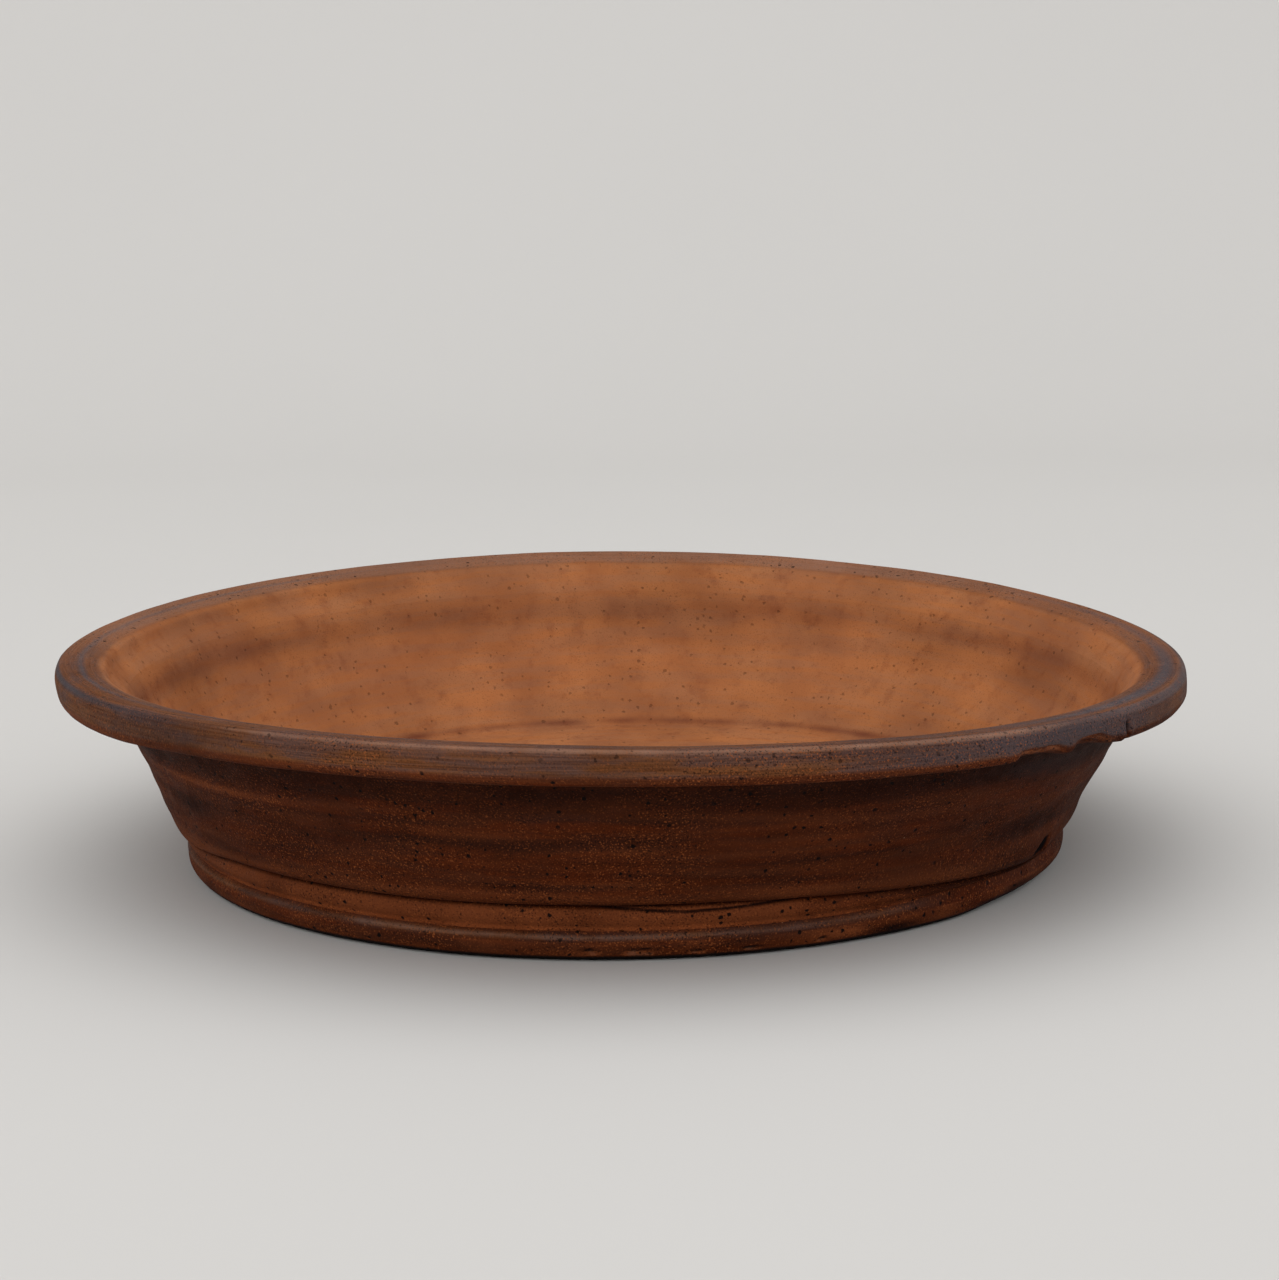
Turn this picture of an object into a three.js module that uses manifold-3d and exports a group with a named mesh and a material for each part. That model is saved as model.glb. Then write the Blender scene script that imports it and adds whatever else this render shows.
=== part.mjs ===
// A round, shallow, wheel-thrown stoneware bonsai pot, in millimetres, +Z up.
// The origin is the middle of the rim, brought down to the surface that the pot stands on.
// Four clay members are stacked at their seams: foot ring, base slab, flared wall and rolled lip.
// Three drain holes are covered by plastic screens, each pinned by a bent wire clip.

import * as THREE from 'three';
import { mergeVertices } from 'three/addons/utils/BufferGeometryUtils.js';
import Module from 'manifold-3d';

const wasm = await Module();
wasm.setup();

// Driving dimensions.
const RIM_RADIUS = 165;
const RIM_HEIGHT = 62;
const FOOT_CONTACT_OUTER = 125;
const FOOT_CONTACT_INNER = 116;
const RECESS_HEIGHT = 5.5;
const FLOOR_TOP = 11.8;
const SEAM_GAP = 0.3;
const LATHE_SEGMENTS = 64;

// Outlines of the clay members as [radius, height], anticlockwise: out along the bottom, up the
// outside and in along the top. A smooth run curves through its points from where the last one
// ended, and a straight run joins them with straight lines.
const straight = (...points) => ({ smooth: false, points });
const smooth = (...points) => ({ smooth: true, points });

// The foot ring stands on a flat ring. Its outside swells to a ridge just below the first seam.
const FOOT_OUTLINE = [
  straight([FOOT_CONTACT_INNER, 0], [FOOT_CONTACT_OUTER, 0]),
  smooth([127.6, 0.4], [129.2, 2], [129.9, 4.2], [130.1, 6], [129.1, 7.7]),
  straight([128, 8], [114, RECESS_HEIGHT - SEAM_GAP]),
  smooth([114.4, 2], [FOOT_CONTACT_INNER, 0]),
];

// The slab is the floor of the pot. Its thick trimmed edge shows between the first two seams.
const SLAB_OUTLINE = [
  straight([0, RECESS_HEIGHT], [114, RECESS_HEIGHT], [128, 8.3], [129.1, 8.6]),
  smooth([130.3, 10.4], [130.6, 12.2], [130.1, 13.9]),
  straight([128.4, 15], [118, FLOOR_TOP], [0, FLOOR_TOP]),
];

// The wall flares up from a crease that overhangs the slab, and its foot thickens into the floor.
const WALL_OUTLINE = [
  straight([118.4, FLOOR_TOP + SEAM_GAP], [128.8, 15.3], [131.4, 15.5]),
  smooth([133.3, 16.6], [135, 19.8], [137.2, 24.4], [139.5, 29], [141.4, 33.4], [143.6, 38],
    [146.1, 43.2], [148.5, 47.6]),
  straight([151.3, 50.4], [145.6, 52]),
  smooth([145, 51], [143.4, 47], [141, 41], [138.2, 35], [133.5, 27.5], [128, 20.5], [123, 14.9],
    [120.4, 12.8], [118.4, FLOOR_TOP + SEAM_GAP]),
];

// The lip is a thick ring with an upright outer band, an undercut, and a top that falls inward.
const LIP_OUTLINE = [
  straight([145.9, 52.3], [151.5, 50.8]),
  smooth([156, 51.8], [161.5, 52.4], [164.2, 53.2], [164.9, 55], [165.2, 58], [164.9, 61.2]),
  smooth([163.9, 61.9], [162, 62]),
  smooth([157, 61.6], [153.4, 60.8], [150.6, 59.2]),
  straight([145.9, 52.3]),
];

// The pot was thrown by hand, so its rim is out of true. Each value is the shift at the rim. The
// middle of the wall leans sideways too, most between its two levels, as a part of the rise.
const RIM_TILT_X = -3.1;
const RIM_TILT_Y = 0.8;
const RIM_SADDLE = -2.3;
const RIM_SADDLE_TWIST = 0.35;
const RIM_OVALITY = 0.65;
const FOOT_OFFSET_X = 0.8;
const WALL_LEAN_X = 1.0;
const WALL_LEAN_GROWS = [0.2, 0.45];
const WALL_LEAN_FADES = [0.7, 1];

// Drainage.
const DRAIN_HOLE_RADIUS = 10;
const DRAIN_HOLE_SIDES = 24;
const DRAIN_HOLE_CIRCLE = 62;
const DRAIN_HOLE_ANGLES = [30, 150, 270];
const TIE_HOLE_RADIUS = 2.5;
const TIE_HOLE_SIDES = 10;
const TIE_HOLE_CIRCLE = 88;
const TIE_HOLE_ANGLES = [45, 135, 225, 315];

const SCREEN_CELLS = 5;
const SCREEN_PITCH = 7.2;
const SCREEN_BAR = 1.6;
const SCREEN_THICKNESS = 1.2;

const WIRE_RADIUS = 0.8;
const WIRE_SIDES = 6;
const WIRE_STEPS = 44;
const WIRE_BEND = 2;
const CLIP_LOOP_RADIUS = 4;
const CLIP_LOOP_ANGLES = [90, 45, 0, -45, -90, -135];
const CLIP_TAIL_LENGTH = 9;

const COLOURS = {
  lip: 0x6b4d42,
  wall: 0x7a4128,
  slab: 0x8a5533,
  foot: 0x5c3a2c,
  screen: 0x1f2a24,
  wire: 0x9a9a98,
};

const group = new THREE.Group();

function addPiece(name, geometry, colour, roughness, metalness = 0) {
  const material = new THREE.MeshStandardMaterial({ color: colour, roughness, metalness });
  const mesh = new THREE.Mesh(geometry, material);
  mesh.name = name;
  group.add(mesh);
  return mesh;
}

// Bends a true turned form into the thrown one. Everything up to the floor stays true, and the
// bend grows evenly from there to the rim.
function warp(geometry) {
  const { smoothstep } = THREE.MathUtils;
  const position = geometry.attributes.position;
  const point = new THREE.Vector3();
  for (let i = 0; i < position.count; i += 1) {
    point.fromBufferAttribute(position, i);
    const rise = Math.max(0, (point.z - FLOOR_TOP) / (RIM_HEIGHT - FLOOR_TOP));
    const u = point.x / RIM_RADIUS;
    const v = point.y / RIM_RADIUS;
    const saddle = RIM_SADDLE * (u * u - v * v) + RIM_SADDLE_TWIST * 2 * u * v;
    const tilt = RIM_TILT_X * u + RIM_TILT_Y * v;
    const reach = Math.hypot(u, v) || 1;
    const stretch = 1 + (rise * RIM_OVALITY * (u * u - v * v)) / (reach ** 3 * RIM_RADIUS);
    const lean = WALL_LEAN_X * smoothstep(rise, ...WALL_LEAN_GROWS)
      * (1 - smoothstep(rise, ...WALL_LEAN_FADES));
    position.setXYZ(
      i,
      point.x * stretch + FOOT_OFFSET_X * (1 - Math.min(1, rise)) + lean,
      point.y * stretch,
      point.z + rise * (tilt + saddle),
    );
  }
  position.needsUpdate = true;
  return geometry;
}

// Turns a closed outline about the pot's axis, with a few points along each span of a smooth run.
function turned(runs, divisions) {
  const outline = new THREE.Shape();
  outline.moveTo(...runs[0].points[0]);
  for (const run of runs) {
    if (run.smooth) outline.splineThru(run.points.map(([r, z]) => new THREE.Vector2(r, z)));
    else run.points.forEach(([r, z]) => outline.lineTo(r, z));
  }
  const geometry = new THREE.LatheGeometry(outline.getPoints(divisions), LATHE_SEGMENTS);
  geometry.rotateX(Math.PI / 2);
  return welded(geometry);
}

function welded(geometry) {
  geometry.deleteAttribute('normal');
  geometry.deleteAttribute('uv');
  return mergeVertices(geometry, 1e-4);
}

function toSolid(geometry) {
  const mesh = welded(geometry);
  return new wasm.Manifold(new wasm.Mesh({
    numProp: 3,
    vertProperties: new Float32Array(mesh.attributes.position.array),
    triVerts: new Uint32Array(mesh.index.array),
  }));
}

function toGeometry(solid) {
  const mesh = solid.getMesh();
  const geometry = new THREE.BufferGeometry();
  geometry.setAttribute('position', new THREE.BufferAttribute(mesh.vertProperties, 3));
  geometry.setIndex(new THREE.BufferAttribute(mesh.triVerts, 1));
  return geometry;
}

function polar(radius, degrees) {
  const angle = THREE.MathUtils.degToRad(degrees);
  return [radius * Math.cos(angle), radius * Math.sin(angle)];
}

function baseSlab() {
  let slab = toSolid(turned(SLAB_OUTLINE, 1));
  const cutHole = (x, y, radius, sides) => {
    const drill = new THREE.CylinderGeometry(radius, radius, FLOOR_TOP * 2, sides);
    drill.rotateX(Math.PI / 2);
    drill.translate(x, y, FLOOR_TOP);
    slab = slab.subtract(toSolid(drill));
  };
  for (const angle of DRAIN_HOLE_ANGLES) {
    cutHole(...polar(DRAIN_HOLE_CIRCLE, angle), DRAIN_HOLE_RADIUS, DRAIN_HOLE_SIDES);
  }
  for (const angle of TIE_HOLE_ANGLES) {
    cutHole(...polar(TIE_HOLE_CIRCLE, angle), TIE_HOLE_RADIUS, TIE_HOLE_SIDES);
  }
  return toGeometry(slab);
}

// Drain screen: a square plastic grid, flat on the floor over a drain hole.
function drainScreen() {
  const side = SCREEN_CELLS * SCREEN_PITCH + SCREEN_BAR;
  const opening = SCREEN_PITCH - SCREEN_BAR;
  let screen = toSolid(new THREE.BoxGeometry(side, side, SCREEN_THICKNESS));
  for (let row = 0; row < SCREEN_CELLS; row += 1) {
    for (let column = 0; column < SCREEN_CELLS; column += 1) {
      const cell = new THREE.BoxGeometry(opening, opening, SCREEN_THICKNESS * 2);
      const middle = (SCREEN_CELLS - 1) / 2;
      cell.translate((column - middle) * SCREEN_PITCH, (row - middle) * SCREEN_PITCH, 0);
      screen = screen.subtract(toSolid(cell));
    }
  }
  return toGeometry(screen);
}

// Wire clip, from its middle to one end: half of the bar on the screen, a loop that turns three
// quarters of a circle, a leg down through the hole, and a tail turned out under the floor.
function clipHalf() {
  const legX = SCREEN_PITCH;
  const loopX = legX + CLIP_LOOP_RADIUS;
  const topZ = SEAM_GAP + SCREEN_THICKNESS + SEAM_GAP + WIRE_RADIUS;
  const tailZ = RECESS_HEIGHT - FLOOR_TOP - SEAM_GAP - WIRE_RADIUS;
  const points = [new THREE.Vector3(legX * 0.5, CLIP_LOOP_RADIUS, topZ)];
  for (const degrees of CLIP_LOOP_ANGLES) {
    const [x, y] = polar(CLIP_LOOP_RADIUS, degrees);
    points.push(new THREE.Vector3(loopX + x, y, topZ));
  }
  points.push(new THREE.Vector3(legX, -0.2, topZ - WIRE_BEND * 0.7));
  points.push(new THREE.Vector3(legX, 0, topZ - WIRE_BEND * 1.6));
  points.push(new THREE.Vector3(legX, 0, tailZ + WIRE_BEND));
  points.push(new THREE.Vector3(legX + WIRE_BEND * 0.6, 0, tailZ + 0.2));
  points.push(new THREE.Vector3(legX + WIRE_BEND * 1.5, 0, tailZ));
  points.push(new THREE.Vector3(legX + CLIP_TAIL_LENGTH, 0, tailZ));
  return points;
}

function wireClip() {
  const right = clipHalf();
  const left = right.map((point) => new THREE.Vector3(-point.x, point.y, point.z)).reverse();
  const path = new THREE.CatmullRomCurve3([...left, ...right], false, 'centripetal');
  const section = new THREE.Shape();
  for (let side = 0; side < WIRE_SIDES; side += 1) {
    const [x, y] = polar(WIRE_RADIUS, (360 / WIRE_SIDES) * side);
    if (side === 0) section.moveTo(x, y);
    else section.lineTo(x, y);
  }
  section.closePath();
  return new THREE.ExtrudeGeometry(section, { steps: WIRE_STEPS, extrudePath: path });
}

addPiece('foot_ring', warp(turned(FOOT_OUTLINE, 1)), COLOURS.foot, 0.8);
addPiece('base_slab', warp(baseSlab()), COLOURS.slab, 0.85);
addPiece('wall', warp(turned(WALL_OUTLINE, 1)), COLOURS.wall, 0.75);
addPiece('lip', warp(turned(LIP_OUTLINE, 1)), COLOURS.lip, 0.7);

DRAIN_HOLE_ANGLES.forEach((angle, index) => {
  const [x, y] = polar(DRAIN_HOLE_CIRCLE, angle);
  const screen = addPiece(`drain_screen_${index + 1}`, drainScreen(), COLOURS.screen, 0.5);
  screen.position.set(x + FOOT_OFFSET_X, y, FLOOR_TOP + SEAM_GAP + SCREEN_THICKNESS / 2);
  const clip = addPiece(`wire_clip_${index + 1}`, wireClip(), COLOURS.wire, 0.35, 1);
  clip.position.set(x + FOOT_OFFSET_X, y, FLOOR_TOP);
});

export default group;
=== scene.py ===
"""A round, shallow, wheel-thrown stoneware bonsai pot on a plain pale floor.

Lengths below are millimetres in the pot's own frame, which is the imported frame. Each clay piece is
turned true from an outline of (radius, height), given its handmade relief, bent as the thrown pot is
bent, and written in metres. A bearing is in degrees: 0 faces the viewer (-Y) and 90 faces +X.
"""

import math

import bpy
import numpy as np
from mathutils import Matrix, Vector, noise


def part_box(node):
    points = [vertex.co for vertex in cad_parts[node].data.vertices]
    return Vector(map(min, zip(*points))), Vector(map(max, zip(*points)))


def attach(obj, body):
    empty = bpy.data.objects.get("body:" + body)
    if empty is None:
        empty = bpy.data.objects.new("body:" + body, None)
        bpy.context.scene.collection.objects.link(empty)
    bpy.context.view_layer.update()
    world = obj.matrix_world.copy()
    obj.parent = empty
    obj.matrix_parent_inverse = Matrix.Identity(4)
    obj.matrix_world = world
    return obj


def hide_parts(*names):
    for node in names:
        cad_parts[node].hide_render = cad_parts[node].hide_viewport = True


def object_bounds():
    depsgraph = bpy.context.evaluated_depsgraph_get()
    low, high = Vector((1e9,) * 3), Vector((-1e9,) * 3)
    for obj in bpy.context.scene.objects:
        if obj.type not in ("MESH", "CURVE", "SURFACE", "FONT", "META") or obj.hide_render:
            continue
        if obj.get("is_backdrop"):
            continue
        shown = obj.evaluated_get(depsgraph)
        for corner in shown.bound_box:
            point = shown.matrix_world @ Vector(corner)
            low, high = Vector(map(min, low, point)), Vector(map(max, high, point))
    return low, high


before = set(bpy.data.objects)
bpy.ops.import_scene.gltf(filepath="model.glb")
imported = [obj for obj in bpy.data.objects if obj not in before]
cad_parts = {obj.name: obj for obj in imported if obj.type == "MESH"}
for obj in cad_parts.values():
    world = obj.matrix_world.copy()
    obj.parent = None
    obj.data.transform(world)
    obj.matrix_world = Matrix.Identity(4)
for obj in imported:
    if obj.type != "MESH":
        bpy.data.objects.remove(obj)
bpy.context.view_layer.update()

# Millimetres in a metre.
MILLIMETRES = 1000

# ---------------------------------------------------------------- the pot's dimensions
RIM_RADIUS = 165.0
RIM_HEIGHT = 62.0
FLOOR_TOP = 11.8
FLOOR_UNDERSIDE = 5.5
RIM_TILT_X, RIM_TILT_Y = -3.1, 0.8
RIM_SADDLE, RIM_SADDLE_TWIST = -2.3, 0.35
RIM_OVALITY = 0.65
FOOT_OFFSET_X = 0.8
WALL_LEAN_X = 1.0

# Outlines of (radius, height), each anticlockwise: out along the bottom, up the outside, in along
# the top. Every list is one smooth run, and the runs of a piece meet at corners.
FOOT_INNER = [(113.8, 5.5), (113.9, 4.2), (114.4, 1.8), (115.1, 0.5), (116.0, 0.0)]
FOOT_BASE = [(116.0, 0.0), (125.6, 0.0)]
FOOT_OUTER = [(125.6, 0.0), (127.3, 0.25), (128.9, 1.2), (129.8, 2.8), (130.2, 5.0), (130.1, 6.4),
              (129.3, 7.6), (128.5, 8.3)]
FOOT_SEAM = [(128.5, 8.3), (113.8, 5.5)]

SLAB_UNDERSIDE = [(0.0, 5.5), (60.0, 5.5), (113.8, 5.5)]
SLAB_EDGE = [(128.5, 8.3), (129.0, 9.0), (130.2, 10.4), (130.7, 12.0), (130.5, 13.6), (129.9, 14.6),
             (128.9, 15.2)]
SLAB_SEAM = [(128.9, 15.2), (118.8, 12.0)]
SLAB_FLOOR = [(118.8, 12.0), (116.5, 11.85), (112.0, 11.8), (60.0, 11.8), (0.0, 11.8)]

WALL_OUTER = [(128.9, 15.2), (130.6, 15.35), (131.9, 15.8), (133.1, 16.7), (134.2, 18.2),
              (135.4, 20.7), (137.4, 24.6), (139.5, 29.0), (141.4, 33.3), (143.5, 37.8),
              (145.9, 42.7), (148.3, 47.2), (149.9, 49.6), (151.4, 50.9)]
WALL_SEAM = [(151.4, 50.9), (145.7, 51.9)]
WALL_INNER = [(145.7, 51.9), (144.6, 49.6), (143.2, 46.5), (141.0, 41.0), (138.2, 35.0),
              (133.5, 27.5), (128.0, 20.5), (123.2, 15.1), (120.6, 12.9), (118.8, 12.0)]

LIP_UNDER = [(151.4, 50.9), (152.8, 51.7), (155.5, 52.1), (159.0, 52.3), (162.2, 52.5), (164.0, 53.1),
             (164.8, 54.3), (165.1, 56.0), (165.25, 58.5), (165.1, 60.6), (164.7, 61.6),
             (163.8, 62.05), (162.0, 62.1), (159.0, 61.8), (156.0, 61.4), (153.6, 60.9),
             (151.9, 60.0), (150.8, 58.9), (149.0, 56.6), (147.0, 53.8), (145.7, 51.9)]

DRAIN_HOLE_RADIUS, DRAIN_HOLE_CIRCLE, DRAIN_HOLE_ANGLES = 10.0, 62.0, (30, 150, 270)
TIE_HOLE_RADIUS, TIE_HOLE_CIRCLE, TIE_HOLE_ANGLES = 2.5, 88.0, (45, 135, 225, 315)

# An edge that turns more than this is drawn sharp.
SHARP_ANGLE = math.radians(50)

# Bearings of the mesh's meridians: closer together where the lip is torn.
BEARINGS = np.concatenate([np.arange(-180, 36, 0.5), np.arange(36, 66, 0.15),
                           np.arange(66, 180, 0.5)])


# ---------------------------------------------------------------- small tools
def fade(low, high, value):
    """0 up to low, 1 from high on, smooth between. With low above high it falls instead."""
    t = np.clip((np.asarray(value, float) - low) / (high - low), 0, 1)
    return t * t * (3 - 2 * t)


def hump(centre, width, value):
    """1 at the centre, down to almost nothing one width and a half away."""
    return np.exp(-((np.asarray(value, float) - centre) / width) ** 2)


def beside(centre, width, bearing):
    """hump() for bearings, which meet again at the back."""
    return hump(0, width, (bearing - centre + 180) % 360 - 180)


def through(knots, value):
    """A smooth curve of value through (place, height) knots."""
    places, heights = np.array(knots, float).T
    fine = np.linspace(places[0], places[-1], 721)
    rough = np.interp(fine, places, heights)
    kernel = np.hanning(25)
    padded = np.pad(rough, 12, mode="edge")
    return np.interp(value, fine, np.convolve(padded, kernel / kernel.sum(), mode="valid"))


def lumps(points, size, seed):
    """Smooth noise, -1 to 1, with lumps about size across in each direction."""
    shifted = points / np.asarray(size, float) + np.array((17.3, 5.1, 11.7)) * seed
    return np.array([noise.noise(Vector(p)) for p in shifted.tolist()])


def along(points, step):
    """Points about step apart on a smooth curve through the given ones."""
    points = np.array(points, float)
    chord = np.concatenate([[0], np.cumsum(np.linalg.norm(np.diff(points, axis=0), axis=1))])
    if len(points) == 2:
        dense = np.linspace(points[0], points[1], 200)
    else:
        slopes = np.gradient(points, chord, axis=0)
        dense = []
        for i in range(len(points) - 1):
            span = chord[i + 1] - chord[i]
            t = np.linspace(0, 1, 40, endpoint=False)[:, None]
            dense.append((2 * t**3 - 3 * t**2 + 1) * points[i] + (t**3 - 2 * t**2 + t) * span * slopes[i]
                         + (3 * t**2 - 2 * t**3) * points[i + 1] + (t**3 - t**2) * span * slopes[i + 1])
        dense = np.vstack(dense + [points[-1:]])
    walked = np.concatenate([[0], np.cumsum(np.linalg.norm(np.diff(dense, axis=0), axis=1))])
    count = max(1, round(walked[-1] / step))
    marks = np.linspace(0, walked[-1], count + 1)
    return np.column_stack([np.interp(marks, walked, dense[:, k]) for k in range(dense.shape[1])])


def outline(*runs):
    """Joins (control points, step) runs into one outline, without doubling their shared ends."""
    parts = [along(points, step) for points, step in runs]
    return np.vstack([part[:-1] for part in parts] + [parts[-1][-1:]])


def polar(radius, degrees):
    return radius * math.cos(math.radians(degrees)), radius * math.sin(math.radians(degrees))


def new_object(name, vertices, faces):
    mesh = bpy.data.meshes.new(name)
    mesh.from_pydata(vertices, [], faces)
    mesh.validate()
    made = bpy.data.objects.new(name, mesh)
    bpy.context.scene.collection.objects.link(made)
    return made


def coordinates(mesh):
    flat = np.empty(len(mesh.vertices) * 3)
    mesh.vertices.foreach_get("co", flat)
    return flat.reshape(-1, 3)


def turned(name, section):
    """Turns an outline about the axis. One that starts and ends on the axis gets a pole at each end."""
    bearings = np.radians(BEARINGS)
    count = len(bearings)
    open_ended = section[0][0] < 1e-6
    rings = section[1:-1] if open_ended else section[:-1]
    radius, height = rings[:, :1], rings[:, 1:]
    grid = np.stack([radius * np.sin(bearings), -radius * np.cos(bearings),
                     height + 0 * bearings], axis=-1).reshape(-1, 3)
    column = np.arange(count)
    after = (column + 1) % count
    faces = []
    for ring in range(len(rings) - 1 if open_ended else len(rings)):
        low, high = ring * count, ((ring + 1) % len(rings)) * count
        faces += np.column_stack([low + column, low + after, high + after, high + column]).tolist()
    if open_ended:
        bottom, top = len(grid), len(grid) + 1
        last = (len(rings) - 1) * count
        grid = np.vstack([grid, [(0, 0, section[0][1]), (0, 0, section[-1][1])]])
        faces += [(bottom, b, a) for a, b in zip(column.tolist(), after.tolist())]
        faces += [(last + a, last + b, top) for a, b in zip(column.tolist(), after.tolist())]
    made = new_object(name, grid.tolist(), faces)
    made.data.shade_smooth()
    made.data.set_sharp_from_angle(angle=SHARP_ANGLE)
    return made


def warp(points):
    """Bends a true turned form into the thrown one: true up to the floor, most bent at the rim."""
    x, y, z = points.T
    rise = np.maximum(0, (z - FLOOR_TOP) / (RIM_HEIGHT - FLOOR_TOP))
    u, v = x / RIM_RADIUS, y / RIM_RADIUS
    saddle = RIM_SADDLE * (u * u - v * v) + RIM_SADDLE_TWIST * 2 * u * v
    tilt = RIM_TILT_X * u + RIM_TILT_Y * v
    reach = np.maximum(np.hypot(u, v), 1e-3)
    stretch = 1 + rise * RIM_OVALITY * (u * u - v * v) / (reach**3 * RIM_RADIUS)
    lean = WALL_LEAN_X * fade(0.2, 0.45, rise) * fade(1, 0.7, rise)
    return np.column_stack([x * stretch + FOOT_OFFSET_X * (1 - np.minimum(1, rise)) + lean,
                            y * stretch, z + rise * (tilt + saddle)])


# ---------------------------------------------------------------- handmade relief, fired colour and painted light and shade
# How far the crease between the slab and the wall wanders up or down, by bearing.
CREASE_WANDER = [(-180, 0), (-100, -1.2), (-68, -2.7), (-54, -0.2), (-20, 0.1), (12, 0.2), (24, -0.8),
                 (35, -2.4), (45, -4.0), (52, -4.8), (59, -5.6), (63, -4.6), (68, -3.3), (100, -1),
                 (180, 0)]
# The height of the lower lip of a smeared flap under the crease.
FLAP_EDGE = [(-5, 15.6), (-3, 15.2), (3, 14.0), (7, 13.4), (13, 13.8), (18, 14.5), (23, 15.2)]
# How far the torn underside of the lip has broken away, upward.
TEAR = [(36.9, 0), (38.0, 0.4), (38.6, 1.5), (40.5, 1.5), (42.0, 1.7), (43.6, 1.2), (44.8, 0.1),
        (45.6, 0.4), (46.6, 2.2), (48.6, 3.0), (50.0, 2.3), (51.2, 0.9), (52.4, 0.2), (53.4, 0)]
CRACK_BEARING = 54.7
GOUGE_BEARING, GOUGE_HEIGHT = 59.8, 14.0
# Chips out of the foot's lower edge, as (bearing, height, size).
FOOT_CHIPS = [(-4.0, 2.6, 1.0), (1.7, 2.2, 1.5), (8.2, 2.0, 0.8), (14.5, 1.7, 1.0), (23.5, 2.4, 0.7)]

# Where the bowl's skin passes from one piece to the next, as (radius, height).
BOWL_SEAMS = [WALL_INNER[0], WALL_INNER[-1]]
# Heights on the outside: the ridge on the foot, the top of the slab's edge, and the lip's corner.
RIDGE_HEIGHT, CREASE_HEIGHT, CORNER_HEIGHT = 6.9, 15.2, 61.7
# The radius beyond which a vertex can be on the outside of the foot or of the slab's edge.
FOOT_FROM = 126


class Surface:
    """The vertices of one piece, as turned, with what the relief and the colours need to know.

    In the functions that take one, b, r and z are the bearing, the radius and the height.
    """

    def __init__(self, made):
        self.mesh = made.data
        self.points = coordinates(self.mesh)
        x, y, self.height = self.points.T
        self.radius = np.hypot(x, y)
        self.bearing = np.degrees(np.arctan2(x, -y))
        flat = np.empty(len(self.points) * 3)
        self.mesh.vertices.foreach_get("normal", flat)
        self.normal = flat.reshape(-1, 3)
        inner = np.array(WALL_INNER[::-1] + LIP_UNDER[-2:-8:-1])
        inner_radius = np.interp(self.height, inner[:, 1], inner[:, 0])
        self.bowl = (fade(inner_radius + 1.6, inner_radius + 0.8, self.radius)
                     * fade(155, 151, self.radius) * (self.height > 11))
        # Inside, pieces that meet at a seam must move the same way, so the direction is the outline's.
        slope = np.interp(self.height, inner[:, 1], np.gradient(inner[:, 0], inner[:, 1]))
        reach = np.maximum(self.radius, 1)
        inward = np.column_stack([-x / reach, -y / reach, slope]) / np.hypot(1, slope)[:, None]
        use = (self.bowl * fade(57, 54, self.height) * (self.height > 11.9))[:, None]
        self.normal = self.normal * (1 - use) + inward * use
        self.outside = 1 - self.bowl
        self.ragged = lumps(self.points, (2.6, 2.6, 2.2), 5)
        # A mark that begins on the right fades out again before the back, where the bearings meet.
        self.right_side = fade(150, 110, self.bearing)
        self.closing = fade(28, 44, self.bearing) * self.right_side

    def attribute(self, name, values):
        layer = self.mesh.attributes.new(name, "FLOAT", "POINT")
        layer.data.foreach_set("value", np.clip(values, 0, 1).astype(np.float32))

    def write(self, moved):
        layer = self.mesh.attributes.new("thrown", "FLOAT_VECTOR", "POINT")
        layer.data.foreach_set("vector", self.points.astype(np.float32).ravel())
        self.mesh.vertices.foreach_set("co", (warp(moved) / MILLIMETRES).astype(np.float32).ravel())
        self.mesh.update()


def throwing_marks(s):
    """Sets s.push, how far the skin stands out along its normal, from the throwing and the turning."""
    b, r, z, bowl, outside = s.bearing, s.radius, s.height, s.bowl, s.outside
    seam_gap = np.minimum.reduce([np.abs(z - seam_z) + np.abs(r - seam_r) for seam_r, seam_z in BOWL_SEAMS])
    joined = np.maximum(fade(0, 2.5, seam_gap), (bowl > 0.9) * (z > 11.9))

    # Broad wobble, throwing ridges that climb in a spiral, and the drag of wet fingers.
    wobble = 0.25 * lumps(s.points, (48, 48, 40), 1) + 0.06 * lumps(s.points, (20, 20, 8), 2)
    fingers = 0.05 * lumps(s.points, (9, 9, 4), 3)
    climb = b / 360
    ridge_out = 0.07 * np.sin(2 * np.pi * (z / 7.4 - climb)) * fade(17, 20, z) * fade(51, 47, z)
    ridge_in = 0.10 * np.sin(2 * np.pi * (z / 10.5 + climb)) * fade(14, 20, z) * fade(52, 48, z)
    spiral = 0.22 * np.sin(2 * np.pi * (r / 8.5 + climb)) * fade(118, 110, r) * fade(4, 12, r)
    on_floor = bowl * fade(12.6, 12.0, z)
    s.push = (wobble * 0.8 + fingers + outside * ridge_out
              + bowl * (1 - on_floor) * ridge_in + on_floor * spiral)
    # Flat where the foot stands, and calmer under the floor.
    s.push *= np.where(z < 1.0, 0.15 * fade(0, 0.2, z), 1.0) * joined
    s.push *= np.where((z < 10) & (r < 113), 0.5, 1.0)

    # The groove between the foot and the slab closes up towards the right, and is shallow elsewhere.
    s.push += outside * 1.5 * hump(8.3, 1.0, z) * fade(28, 42, b) * fade(110, 80, b) * (r > 127)
    s.push += (outside * (0.42 * hump(RIDGE_HEIGHT, 0.65, z) + 0.45 * hump(8.6, 0.7, z))
               * (1 - s.closing) * (r > 127))


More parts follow.
